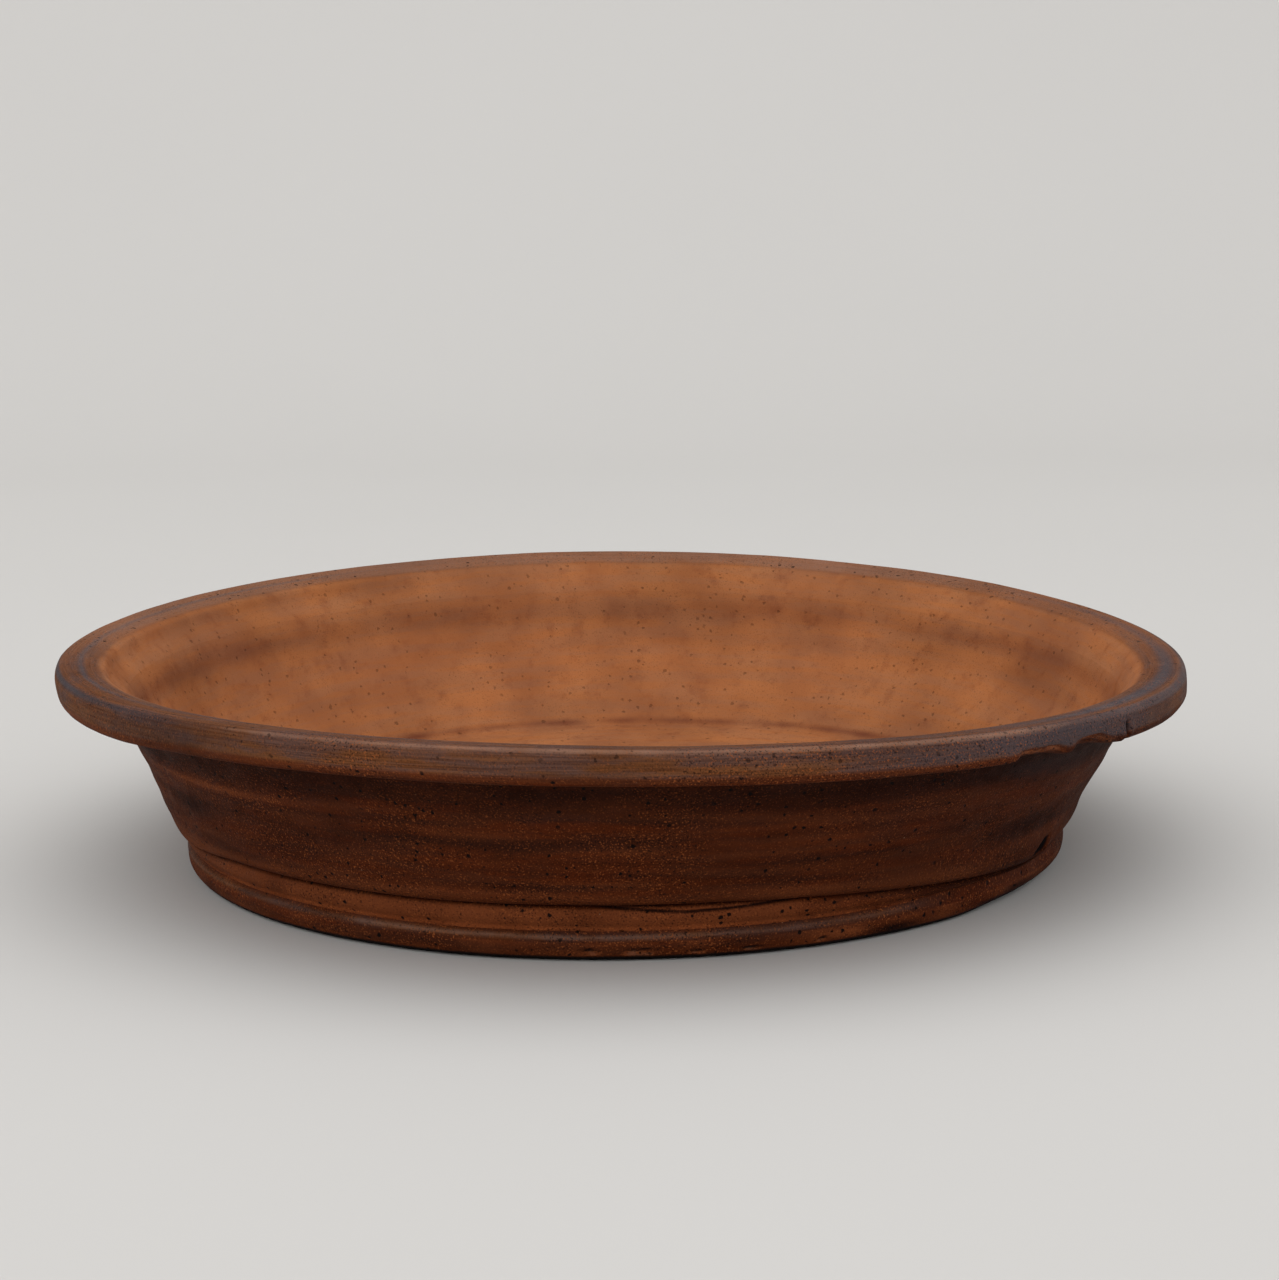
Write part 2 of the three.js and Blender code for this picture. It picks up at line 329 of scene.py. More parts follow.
def lip_marks(s):
    """Adds the marks on the lip to s.push, and sets s.lift, how far up each vertex moves."""
    b, r, z, ragged = s.bearing, s.radius, s.height, s.ragged

    # The torn underside of the lip, on the right.
    s.torn = through(TEAR, b) * np.where((b > 36) & (b < 54), 1, 0)
    # A light line along the torn edge: bare clay, with a painted highlight on it.
    s.torn_edge = fade(0.2, 0.8, s.torn) * hump(53.6, 1.1, z) * (r > 162.5) * (0.7 + 0.6 * ragged)
    s.corner = fade(155.5, 162.8, r) * fade(57.6, 54.2, z)
    s.lift = s.torn * s.corner * (1 + 0.22 * ragged)
    s.push -= 0.5 * s.corner * fade(0.3, 1.2, s.torn) * (0.6 + 0.5 * ragged)

    # The crack that ends the tear, and the clay pushed up beside it.
    arc = np.radians(b - CRACK_BEARING) * r
    s.off_crack = arc - 0.15 * (z - 55)
    s.at_crack = (r > 159) * fade(51.5, 53, z) * fade(59.2, 57.6, z)
    s.push -= 2.3 * s.at_crack * np.exp(-s.off_crack ** 2 / 0.7)
    s.push += 0.75 * s.at_crack * (np.exp(-(arc + 2.6) ** 2 / 3.2) * hump(54.8, 1.8, z)
                                   + np.exp(-(arc - 1.9) ** 2 / 1.4) * hump(56.2, 1.8, z))
    # Clay smeared under the band just before the crack.
    s.push += 0.5 * (r > 159) * hump(51.5, 1.3, b) * hump(54.0, 1.6, z) * (1 + ragged)

    # On the left the band is deeper, and its upper corner is worn round.
    s.worn_corner = hump(-74, 36, b)
    s.push -= s.worn_corner * np.exp(-((r - 164.9) ** 2 + (z - CORNER_HEIGHT) ** 2) / 7.0)
    s.lift -= 1.15 * fade(-42, -56, b) * fade(-150, -110, b) * fade(153, 159, r) * fade(59, 54, z)

    # The lip's inner edge overhangs the bowl a little on the left.
    s.push += 0.55 * fade(-20, -60, b) * fade(-170, -130, b) * np.exp(
        -((r - 151.2) ** 2 + (z - 59.3) ** 2) / 2.6)
    s.push -= 0.5 * fade(-20, -60, b) * fade(-170, -130, b) * s.bowl * hump(55.6, 2.4, z)


def foot_marks(s, moved):
    """Moves the vertices for the marks on the foot, on the slab's edge and along the crease."""
    b, r, z, outside, ragged = s.bearing, s.radius, s.height, s.outside, s.ragged

    # The crease wanders, and carries the clay above and below it along.
    near_crease = np.where(z < CREASE_HEIGHT, fade(8.4, CREASE_HEIGHT, z), fade(27, CREASE_HEIGHT, z))
    moved[:, 2] += through(CREASE_WANDER, b) * (outside * (r > FOOT_FROM) * near_crease)
    now = moved[:, 2].copy()

    # The foot's lower edge is trimmed back on the right.
    out = -1.7 * outside * (r > 120) * fade(3.6, 0.5, z) * fade(43, 54, b) * fade(100, 78, b)

    # A smeared flap under the crease: a thin shadow line along its lower lip, and a swelling over it.
    s.above_flap = above_flap = now - through(FLAP_EDGE, b)
    s.flap_on = fade(-4.5, -1, b) * fade(22.5, 19, b)
    s.below_wall = outside * (r > 127) * (z < 30)
    out -= 0.55 * s.below_wall * s.flap_on * hump(0, 0.42, above_flap)
    out += 0.30 * s.below_wall * s.flap_on * fade(0, 0.5, above_flap) * fade(1.6, 0.7, above_flap)

    # The gouge at the right end of the crease, long one way and pushed up on one side.
    arc, rise = np.radians(b - GOUGE_BEARING) * r, now - GOUGE_HEIGHT
    gouge_long, gouge_wide = 0.81 * arc + 0.59 * rise, 0.59 * arc - 0.81 * rise
    s.gouge = s.below_wall * np.exp(-(gouge_long / 3.2) ** 2 - (gouge_wide / 1.5) ** 2)
    out -= 2.4 * s.gouge
    out += 0.6 * s.below_wall * np.exp(-((gouge_long - 1.5) / 2.4) ** 2 - ((gouge_wide - 2.9) / 1.1) ** 2)

    # Chips out of the foot's lower edge, each with a painted shadow line over it.
    chipped, chip_shade = 0 * b, 0 * b
    flake = lumps(s.points, (1.5, 1.5, 1.1), 10)
    for bearing, height, size in FOOT_CHIPS:
        chip_arc = np.radians(b - bearing) * r
        reach = (chip_arc / (2.6 * size)) ** 2
        chipped = np.maximum(chipped, np.exp(-reach - ((now - height) / (0.9 * size)) ** 2))
        chip_shade = np.maximum(chip_shade, np.exp(-reach - ((now - height - size) / 0.5) ** 2))
    on_foot = outside * (r > FOOT_FROM) * (z < 8)
    s.chipped = chipped * (on_foot * (1 + 0.6 * ragged + 0.9 * flake))
    s.chip_shade = chip_shade * (on_foot * (1 + flake))
    out -= 0.40 * fade(0.35, 0.7, s.chipped) * (1 + 0.6 * flake)

    moved += np.column_stack([np.sin(np.radians(b)), -np.cos(np.radians(b)), 0 * b]) * out[:, None]


def clay_colour_and_painted_light(s):
    """Writes the masks, 0 to 1, that the material colours the clay by and whose edges it breaks up; besides
    the clay's tones they paint light and shade.
    """
    b, r, z, bowl, outside = s.bearing, s.radius, s.height, s.bowl, s.outside
    right_side, closing = s.right_side, s.closing
    side = np.abs(b)
    patch = lumps(s.points, (46, 46, 14), 6)
    streak = lumps(s.points, (34, 34, 2.6), 7)
    small = lumps(s.points, (12, 12, 8), 8)
    cloud = lumps(s.points, (26, 26, 16), 9)

    # Sides of the pot, and the faces of its pieces.
    left = fade(-20, -70, b) * fade(-175, -120, b)
    right = fade(15, 60, b) * fade(150, 110, b)
    far = fade(60, 105, side)
    band = fade(162.5, 164.5, r) * fade(52.5, 54, z)
    lip_top = fade(150.5, 153.5, r) * fade(59.3, 60.6, z)
    lip_under = outside * (z > 50.5) * fade(164.3, 162.5, r) * (z < 55)
    top_corner = np.exp(-((r - 164.7) ** 2 + (z - CORNER_HEIGHT) ** 2) / 1.3)
    on_wall = outside * (z > 15.3) * (z < 51.5) * (r < 156)
    on_edge = outside * (r > 127) * (z < 15.3)

    # The clay's tones: the bowl's, what the rim shares of them, the trimmed band and the mauve rim, and on
    # the foot's ridge a mauve that is partly a painted highlight.
    s.attribute("bowl", bowl)
    s.attribute("inside", np.maximum(bowl, lip_top * (0.15 + 0.55 * far)))
    s.attribute("trimmed", outside * fade(150, 160, r) * fade(52, 54, z))
    s.attribute("mauve", outside * np.maximum.reduce([
        lip_top * (1 - 0.6 * far),
        band * fade(54.4, 55.8, z),
        on_edge * 0.95 * hump(RIDGE_HEIGHT, 0.8, z) * (1 - closing)]))
    # Blue-grey flashing: rings on the lip's top, the band's upper part, wall patches, and the foot's ridge,
    # where it is partly a painted highlight.
    s.attribute("ash", np.maximum.reduce([
        lip_top * left * 0.75 * hump(0, 1.2, r - (157.4 + 0.5 * small)),
        lip_top * right * (0.95 - 0.42 * far) * hump(0, 2.9 - 0.6 * far, r - 158.9 - 0.9 * far),
        lip_top * 0.55 * far * (1 - right) * fade(162.6, 164.4, r),
        band * fade(58.9, 61.0, z) * (0.12 + 0.65 * beside(-72, 26, b) + 0.75 * right),
        band * (0.75 * hump(44, 24, b) + 0.30 * hump(-52, 14, b)) * fade(53.8, 56.5, z),
        on_edge * hump(RIDGE_HEIGHT, 0.6, z) * (0.30 - 0.15 * fade(-5, 12, b) * right_side) * (1 - closing),
        on_wall * 0.25 * fade(0.25, 0.6, patch) * fade(30, 42, z),
    ]))
    # Bare red clay: the band's lower edge, the tear, the slab's edge, chips, streaks on the wall.
    s.attribute("rust", np.maximum.reduce([
        band * fade(56.4, 54.6, z) * (0.38 + 0.25 * left - 0.2 * closing),
        0.25 * fade(0.2, 1.0, s.torn) * s.corner,
        0.85 * s.torn_edge,
        on_edge * fade(7.8, 8.6, z) * fade(CREASE_HEIGHT, 13.8, z)
        * (0.80 - 0.70 * fade(12, 44, b) * right_side + 0.4 * small),
        on_edge * fade(6.2, 5.2, z) * (0.35 + 0.35 * small),
        on_edge * 0.95 * hump(26, 4.5, b) * hump(3.6, 1.8, z),
        1.1 * fade(0.25, 0.5, s.chipped),
        on_wall * (0.25 + 0.28 * streak + 0.26 * hump(18.0, 2.0, z) * fade(70, 30, side)
                   + 0.60 * hump(39.2, 1.1, z) * hump(-52, 13, b)
                   + 0.60 * hump(17.5, 2.2, z) * hump(-66, 12, b)),
        lip_under * 0.30,
        lip_top * 0.15 * far * fade(156, 160, r) * (1 - right),
    ]))
    # Dark clay and painted shade: on the wall, dark patches, with painted shade darkening it towards the
    # lip, under its overhang, and on the right,
    s.attribute("dark_clay_and_shade", np.maximum.reduce([
        on_wall * (0.52 * fade(37, 47, z + 2.5 * patch) + 0.14 + 0.12 * fade(0, 30, b) * right_side),
        on_wall * (0.30 * hump(33, 4, z + 2 * small) - 0.5 * patch - 0.1 * small),
        on_wall * 0.75 * hump(30.5, 4.2, z) * hump(-58, 9, b),
        on_wall * 0.60 * hump(25.5, 4.5, z - 0.06 * (b - 50)) * hump(52, 13, b),
        # under the lip, painted shade; on the slab's edge, darker on the right; on the foot, a dark patch,
        # and painted shade in the groove, on the trimmed bevel on the right and along the lowest edge where
        # it meets the floor,
        lip_under * 0.40,
        on_edge * hump(8.2, 0.3, z) * (1 - closing) * 0.30,
        on_edge * fade(9, 11, z) * 0.45 * hump(52, 14, b),
        on_edge * 0.95 * hump(33.5, 4.2, b) * hump(2.4, 1.7, z),
        on_edge * fade(1.7, 0.7, z) * 0.9,
        on_edge * fade(3.9, 2.6, z) * 0.85 * fade(43, 52, b) * right_side,
        on_edge * 0.70 * hump(58, 6, b) * hump(3.6, 1.6, z),
        # painted shade along the flap and in the crease, in the gouge and the crack, and a painted shadow
        # over each chip,
        s.below_wall * s.flap_on * hump(-0.1, 0.45, s.above_flap),
        s.below_wall * hump(15.1, 0.35, z) * fade(70, 55, side) * 0.4,
        1.4 * s.gouge,
        1.3 * s.at_crack * np.exp(-s.off_crack ** 2 / 0.8),
        1.2 * s.chip_shade,
        # on the lip's corner and band,
        band * fade(58.6, 61.0, z) * beside(-72, 24, b) * 0.62,
        top_corner * np.maximum(far * (1 - right), left) * 0.85,
        band * (0.50 * hump(56, 15, b) + 0.50 * hump(-46, 12, b)),
        # and inside: painted shade in a band under the lip and in the corner where the wall meets the
        # floor.
        bowl * (0.29 + 0.17 * fade(155, 115, side) + 0.06 * small + 0.06 * streak)
        * hump(46.5 + 1.2 * cloud, 4.6, z),
        bowl * (0.50 + 0.5 * small) * hump(13.0, 1.2, z) * (r > 114),
    ]))
    # Lighter clay: painted highlights along the lip's corner, the edges of its top and the foot's ridge in
    # front; the far part of the lip's top lighter; bare clay in the chips; and along the torn edge, bare
    # clay with a painted highlight.
    s.attribute("pale", np.maximum.reduce([
        top_corner * (1 - 0.95 * s.worn_corner) * (0.52 + 0.1 * fade(10, 35, b)) * fade(58, 36, side),
        lip_top * 0.22 * fade(161.5, 163, r) * right,
        lip_top * 0.25 * fade(157, 155, r) * (1 - far),
        lip_top * 0.40 * far * (1 - 0.5 * right),
        0.30 * fade(0.35, 0.7, s.chipped),
        0.30 * s.torn_edge,
        on_edge * 0.34 * hump(RIDGE_HEIGHT, 0.7, z) * fade(-42, -30, b) * fade(18, 4, b),
    ]))
    # How light the clay is drawn, 0.5 where it is neither light nor dark: random tone, painted light in
    # lighter bands inside the bowl, painted shade on the right of the outside, and lighter bands on the
    # slab's edge and the foot.
    s.attribute("light", (
        0.5 + 0.12 * cloud + 0.08 * patch
        + bowl * (0.12 * beside(-157, 26, b) * fade(45, 38, z) + 0.07 * hump(56, 4.5, z)
                  + 0.12 * hump(31, 9, z) + 0.05 * hump(22, 5, z))
        - on_wall * (0.06 + 0.12 * right + 0.10 * hump(27, 8, z) * fade(-20, 20, b) * right_side)
        - on_edge * (0.08 + 0.10 * right)
        + on_edge * (0.40 * hump(8.9, 0.9, z) + 0.25 * hump(5.6, 0.9, z) + 0.20 * closing * hump(7, 1, z))))
    # Painted shade, near black, where light hardly reaches: in the gouge and the crack, and along the
    # foot's lowest edge where it meets the floor.
    s.attribute("crevice_shade", np.maximum.reduce([
        2.6 * s.gouge,
        0.9 * outside * (r > FOOT_FROM) * fade(2.3, 1.1, z),
        s.at_crack * (1 + 0.4 * s.ragged) * np.exp(-s.off_crack ** 2 / 0.9)]))


def relieve(made):
    """Gives a turned clay piece its relief and its masks of colour and painted light and shade, then bends
    it.
    """
    s = Surface(made)
    throwing_marks(s)
    lip_marks(s)
    moved = s.points + s.normal * s.push[:, None]
    moved[:, 2] += s.lift
    foot_marks(s, moved)
    clay_colour_and_painted_light(s)
    s.write(moved)


# ---------------------------------------------------------------- materials
def linear(colour):
    return tuple((c / 255 / 12.92) if c <= 10.3 else ((c / 255 + 0.055) / 1.055) ** 2.4
                 for c in colour) + (1.0,)


# The clay's colours, as sRGB; the dark colours also paint shade, the pale one paints highlights too, and
# the pit colour paints the near-black shade in crevices.
WALL_DEEP, WALL_LIGHT, WALL_PATCH = (74, 32, 16), (95, 42, 20), (62, 27, 15)
BOWL_DEEP, BOWL_LIGHT, BOWL_PATCH = (165, 104, 68), (189, 122, 78), (140, 80, 54)
RIM_DEEP, RIM_LIGHT = (100, 62, 48), (130, 87, 70)
WARM_TINT, COOL_TINT = (255, 238, 182), (224, 240, 255)
WALL_DARK_AND_SHADE, BOWL_DARK_AND_SHADE = (36, 12, 5), (112, 58, 40)
RUST, ASH, PALE = (134, 70, 37), (80, 72, 76), (176, 132, 108)
LIGHT_GRAIN, DARK_GRAIN, SPECK, PIT_AND_SHADE = (172, 94, 48), (22, 10, 7), (205, 165, 130), (18, 12, 11)


class Shade:
    """A material's node tree, with one short call for each kind of node."""

    def __init__(self, name):
        self.material = bpy.data.materials.new(name)
        self.material.use_nodes = True
        self.tree = self.material.node_tree
        self.tree.nodes.clear()
        self.output = self.node("ShaderNodeOutputMaterial")
        self.shader = self.node("ShaderNodeBsdfPrincipled")
        self.join(self.shader.outputs[0], self.output.inputs[0])

    def node(self, kind, **settings):
        made = self.tree.nodes.new(kind)
        for key, value in settings.items():
            setattr(made, key, value)
        return made

    def join(self, value, socket):
        if isinstance(value, bpy.types.NodeSocket):
            self.tree.links.new(value, socket)
        else:
            socket.default_value = value

    def attribute(self, name, output="Fac"):
        return self.node("ShaderNodeAttribute", attribute_name=name).outputs[output]

    def math(self, operation, a, b=0.0, clamp=False):
        made = self.node("ShaderNodeMath", operation=operation, use_clamp=clamp)
        self.join(a, made.inputs[0])
        self.join(b, made.inputs[1])
        return made.outputs[0]

    def scaled(self, vector, size):
        """The vector divided by a size in each direction."""
        made = self.node("ShaderNodeVectorMath", operation="DIVIDE")
        self.join(vector, made.inputs[0])
        made.inputs[1].default_value = size
        return made.outputs[0]

    def noise(self, vector, size, detail=2.0, roughness=0.5):
        sizes = size if isinstance(size, tuple) else (size,) * 3
        made = self.node("ShaderNodeTexNoise")
        self.join(self.scaled(vector, sizes), made.inputs["Vector"])
        made.inputs["Scale"].default_value = 1.0
        made.inputs["Detail"].default_value = detail
        made.inputs["Roughness"].default_value = roughness
        return made.outputs["Fac"]

    def tint(self, vector, size):
        """A coloured noise, which is three noises that differ."""
        made = self.node("ShaderNodeTexNoise")
        self.join(self.scaled(vector, (size,) * 3), made.inputs["Vector"])
        made.inputs["Scale"].default_value = 1.0
        made.inputs["Detail"].default_value = 1.0
        return made.outputs["Color"]

    def step(self, value, low, high, to_low=0.0, to_high=1.0):
        made = self.node("ShaderNodeMapRange", interpolation_type="SMOOTHSTEP")
        for socket, v in zip(made.inputs, (value, low, high, to_low, to_high)):
            self.join(v, socket)
        return made.outputs[0]

    def mix(self, factor, a, b, blend="MIX"):
        made = self.node("ShaderNodeMix", data_type="RGBA", blend_type=blend)
        self.join(factor, made.inputs["Factor"])
        for name, value in (("A", a), ("B", b)):
            socket = next(i for i in made.inputs if i.name == name and i.type == "RGBA")
            self.join(linear(value) if isinstance(value, tuple) else value, socket)
        return next(o for o in made.outputs if o.type == "RGBA")

    def spots(self, vector, spacing, low, high):
        """Round spots at random places, one at most in each cell, of random size."""
        made = self.node("ShaderNodeTexVoronoi", feature="F1")
        self.join(self.scaled(vector, (spacing,) * 3), made.inputs["Vector"])
        made.inputs["Scale"].default_value = 1.0
        split = self.node("ShaderNodeSeparateColor")
        self.join(made.outputs["Color"], split.inputs[0])
        size = self.step(split.outputs[0], 0.35, 1.0, low, high)
        gap = self.math("SUBTRACT", size, made.outputs["Distance"])
        return self.step(gap, 0.0, 0.10)


def stoneware(name):
    """Unglazed reduction-fired clay, coloured by the masks that its piece carries, which paint light and
    shade as well as the clay's tones.
    """
    g = Shade(name)
    # Two sets of coordinates in millimetres: the place on the turned form, and one whose third part
    # grows along the profile, so that a noise squeezed in it draws lines round the pot.
    place = g.attribute("thrown", "Vector")
    axes = g.node("ShaderNodeSeparateXYZ")
    g.join(place, axes.inputs[0])
    x, y, z = axes.outputs
    reach = g.math("SQRT", g.math("ADD", g.math("MULTIPLY", x, x), g.math("MULTIPLY", y, y)))
    climb = g.node("ShaderNodeCombineXYZ")
    g.join(x, climb.inputs[0])
    g.join(y, climb.inputs[1])
    g.join(g.math("ADD", reach, z), climb.inputs[2])
    lines = climb.outputs[0]

    broad = g.noise(place, 30.0, 3.0)
    middle = g.noise(place, 6.0, 4.0, 0.6)
    fine = g.noise(place, 1.0, 3.0, 0.65)
    bands = g.noise(lines, (70.0, 70.0, 4.6), 3.0)
    scrapes = g.noise(lines, (24.0, 24.0, 0.42), 3.0, 0.6)
    scrape = g.step(g.attribute("trimmed"), 0.0, 1.0, 0.25, 0.8)
    broken = g.math("ADD", g.math("MULTIPLY", g.math("SUBTRACT", middle, 0.5), 0.9),
                    g.math("MULTIPLY", g.math("SUBTRACT", scrapes, 0.5), scrape))

    bowl, mauve, inner = g.attribute("bowl"), g.attribute("mauve"), g.attribute("inside")
    smooth = g.step(bowl, 0.0, 1.0, 1.0, 0.35)
    outside = g.mix(g.step(bands, 0.36, 0.64), WALL_DEEP, WALL_LIGHT)
    outside = g.mix(g.step(middle, 0.45, 0.75, 0.0, 0.5), outside, WALL_PATCH)
    inside = g.mix(g.step(broad, 0.32, 0.68), BOWL_DEEP, BOWL_LIGHT)
    inside = g.mix(g.step(middle, 0.50, 0.78, 0.0, 0.5), inside, BOWL_PATCH)
    rim = g.mix(g.step(scrapes, 0.3, 0.7), RIM_DEEP, RIM_LIGHT)
    colour = g.mix(inner, outside, inside)
    colour = g.mix(mauve, colour, rim)
    hue = g.step(g.noise(lines, (26.0, 26.0, 4.0), 4.0, 0.6), 0.38, 0.62)
    hue = g.mix(hue, WARM_TINT, COOL_TINT)
    colour = g.mix(g.step(inner, 0.0, 1.0, 1.0, 0.32), colour, hue, "MULTIPLY")
    # The masks, with their edges broken up by noise where they are present; the dark and pale ones carry
    # painted shade and painted highlights as well as tones.
    # The colour of dark clay and of painted shade, outside and in.
    dark = g.mix(bowl, WALL_DARK_AND_SHADE, BOWL_DARK_AND_SHADE)
    patchy = g.step(bowl, 0.0, 1.0, 0.5, 0.22)
    for mask, shade in (("rust", RUST), ("dark_clay_and_shade", dark), ("ash", ASH), ("pale", PALE)):
        present = g.math("MULTIPLY", g.step(g.attribute(mask), 0.0, 0.25), patchy)
        amount = g.math("ADD", g.attribute(mask), g.math("MULTIPLY", broken, present))
        colour = g.mix(g.step(amount, 0.05, 1.0), colour, shade)
    # Painted light and shade, with random tone, as a grey that scales the colour.
    gain = g.step(g.attribute("light"), 0.0, 1.0, 0.45, 1.0)
    grey = g.node("ShaderNodeCombineColor")
    for socket in grey.inputs[:3]:
        g.join(gain, socket)

    # Sand in the clay: light and dark grains, most in broad patches of the outside.
    sandy = g.math("MULTIPLY", g.step(broad, 0.35, 0.60, 0.35, 1.0), smooth)
    sand = g.noise(place, 0.50, 1.0, 0.5)
    light_grain = g.math("MULTIPLY", g.step(sand, 0.58, 0.72), sandy)
    light_grain = g.math("MULTIPLY", light_grain, g.step(g.attribute("dark_clay_and_shade"), 0.1, 0.8, 1.0, 0.3))
    dark_grain = g.math("MULTIPLY", g.step(sand, 0.42, 0.30), sandy)
    colour = g.mix(g.math("MULTIPLY", light_grain, 0.75), colour, LIGHT_GRAIN)
    colour = g.mix(g.math("MULTIPLY", dark_grain, 0.75), colour, DARK_GRAIN)

    # Pale specks, and black iron pits of uneven shape, in clusters.
    bent = g.node("ShaderNodeVectorMath", operation="MULTIPLY_ADD")
    g.join(g.tint(place, 0.9), bent.inputs[0])
    bent.inputs[1].default_value = (0.9, 0.9, 0.9)
    g.join(place, bent.inputs[2])
    bent = bent.outputs[0]
    speck = g.spots(place, 5.2, 0.02, 0.07)
    colour = g.mix(g.math("MULTIPLY", speck, g.math("MULTIPLY", smooth, 0.7)), colour, SPECK)
    cluster = g.step(g.noise(place, 14.0, 2.0), 0.30, 0.48)
    small_pit = g.spots(bent, 2.3, 0.06, 0.29)
    large_pit = g.spots(bent, 6.4, 0.02, 0.12)
    pits_and_shade = g.math("MAXIMUM", large_pit, g.math("MULTIPLY", small_pit, cluster))
    pits_and_shade = g.math("MULTIPLY", pits_and_shade, g.step(bowl, 0.0, 1.0, 0.95, 0.36))
    pits_and_shade = g.math("MULTIPLY", pits_and_shade, g.step(mauve, 0.0, 1.0, 1.0, 0.6))
    # Painted shade, near black, in the gouge, the crack and along the foot's lowest edge, drawn in the
    # pits' colour.
    pits_and_shade = g.math("MAXIMUM", pits_and_shade, g.step(g.attribute("crevice_shade"), 0.3, 0.9))
    colour = g.mix(pits_and_shade, colour, PIT_AND_SHADE)
    colour = g.mix(1.0, colour, grey.outputs[0], "MULTIPLY")
    g.join(colour, g.shader.inputs["Base Color"])

    roughness = g.step(middle, 0.3, 0.7, 0.66, 0.82)
    roughness = g.math("SUBTRACT", roughness, g.math("MULTIPLY", g.attribute("ash"), 0.16))
    g.join(roughness, g.shader.inputs["Roughness"])
    g.shader.inputs["IOR"].default_value = 1.45
    g.shader.inputs["Specular IOR Level"].default_value = 0.06

    height = g.math("ADD", g.math("MULTIPLY", scrapes, scrape), g.math("MULTIPLY", fine, 0.5))
    height = g.math("ADD", height, g.math("MULTIPLY", sand, 0.8))
    height = g.math("MULTIPLY", height, smooth)
    height = g.math("ADD", height, g.math("MULTIPLY", middle, 0.5))
    height = g.math("SUBTRACT", height, g.math("MULTIPLY", pits_and_shade, 1.8))
    bump = g.node("ShaderNodeBump")
    bump.inputs["Strength"].default_value = 0.85
    bump.inputs["Distance"].default_value = 0.00022
    g.join(height, bump.inputs["Height"])
    g.join(bump.outputs[0], g.shader.inputs["Normal"])
    return g.material


def plain_place(g):
    """The place in metres, for pieces that carry no masks."""
    return g.node("ShaderNodeTexCoord").outputs["Object"]


def plastic(name):
    """Dark green-black netting with a film of dust."""
    g = Shade(name)
    place = plain_place(g)
    dust = g.noise(place, 0.004, 4.0, 0.65)
    streaks = g.noise(place, 0.0006, 2.0)
    colour = g.mix(g.step(dust, 0.42, 0.72), (24, 32, 28), (58, 62, 52))
    colour = g.mix(g.step(streaks, 0.4, 0.8, 0.0, 0.4), colour, (40, 50, 44))
    g.join(colour, g.shader.inputs["Base Color"])
    g.join(g.step(dust, 0.3, 0.7, 0.38, 0.62), g.shader.inputs["Roughness"])
    bump = g.node("ShaderNodeBump")
    bump.inputs["Strength"].default_value = 0.4
    bump.inputs["Distance"].default_value = 0.00008
    g.join(streaks, bump.inputs["Height"])
    g.join(bump.outputs[0], g.shader.inputs["Normal"])
    return g.material


def aluminium(name):
    """Soft drawn wire, dulled in places."""
    g = Shade(name)
    place = plain_place(g)
    drawn = g.noise(place, 0.0012, 4.0, 0.6)
    dull = g.noise(place, 0.006, 2.0)
    colour = g.mix(g.step(drawn, 0.3, 0.7), (168, 168, 166), (206, 206, 204))
    colour = g.mix(g.step(dull, 0.5, 0.75, 0.0, 0.5), colour, (128, 126, 122))
    g.join(colour, g.shader.inputs["Base Color"])
    g.shader.inputs["Metallic"].default_value = 1.0
    g.join(g.step(drawn, 0.3, 0.7, 0.28, 0.46), g.shader.inputs["Roughness"])
    bump = g.node("ShaderNodeBump")
    bump.inputs["Strength"].default_value = 0.35
    bump.inputs["Distance"].default_value = 0.00005
    g.join(drawn, bump.inputs["Height"])
    g.join(bump.outputs[0], g.shader.inputs["Normal"])
    return g.material


def paper(name, colour):
    """The studio's matt floor, with a faint cloud in it."""
    g = Shade(name)
    cloud = g.noise(plain_place(g), 0.35, 2.0)
    darker = tuple(round(c * 0.985) for c in colour)
    g.join(g.mix(cloud, darker, colour), g.shader.inputs["Base Color"])
    g.shader.inputs["Roughness"].default_value = 0.9
    g.shader.inputs["Specular IOR Level"].default_value = 0.2
    return g.material


# ---------------------------------------------------------------- the clay pieces
def place_piece(made, node, material):
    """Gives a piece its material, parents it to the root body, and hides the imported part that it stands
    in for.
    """
    made.data.materials.append(material)
    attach(made, "root")
    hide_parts(node)


HOLE_SIDES, HOLE_CHAMFER, HOLE_FLARE = 48, 0.9, 2.0


def drill(name, holes):
    """Cutters for upright holes, flared at both faces so that each edge has a small chamfer."""
    vertices, faces = [], []
    for x, y, radius in holes:
        first = len(vertices)
        levels = [(FLOOR_UNDERSIDE - HOLE_FLARE, radius + HOLE_FLARE),
                  (FLOOR_UNDERSIDE - 0.3, radius + HOLE_CHAMFER), (FLOOR_UNDERSIDE + 0.7, radius),
                  (FLOOR_TOP - HOLE_CHAMFER, radius), (FLOOR_TOP + 0.3, radius + HOLE_CHAMFER),
                  (FLOOR_TOP + HOLE_FLARE, radius + HOLE_FLARE)]
        for height, reach in levels:
            for side in range(HOLE_SIDES):
                dx, dy = polar(reach, side * 360 / HOLE_SIDES)
                vertices.append((x + dx, y + dy, height))
        for level in range(len(levels) - 1):
            ring = first + level * HOLE_SIDES
            for side in range(HOLE_SIDES):
                a, b = ring + side, ring + (side + 1) % HOLE_SIDES
                faces.append((a, b, b + HOLE_SIDES, a + HOLE_SIDES))
        last = first + (len(levels) - 1) * HOLE_SIDES
        faces.append(tuple(first + side for side in reversed(range(HOLE_SIDES))))
        faces.append(tuple(last + side for side in range(HOLE_SIDES)))
    return new_object(name, vertices, faces)


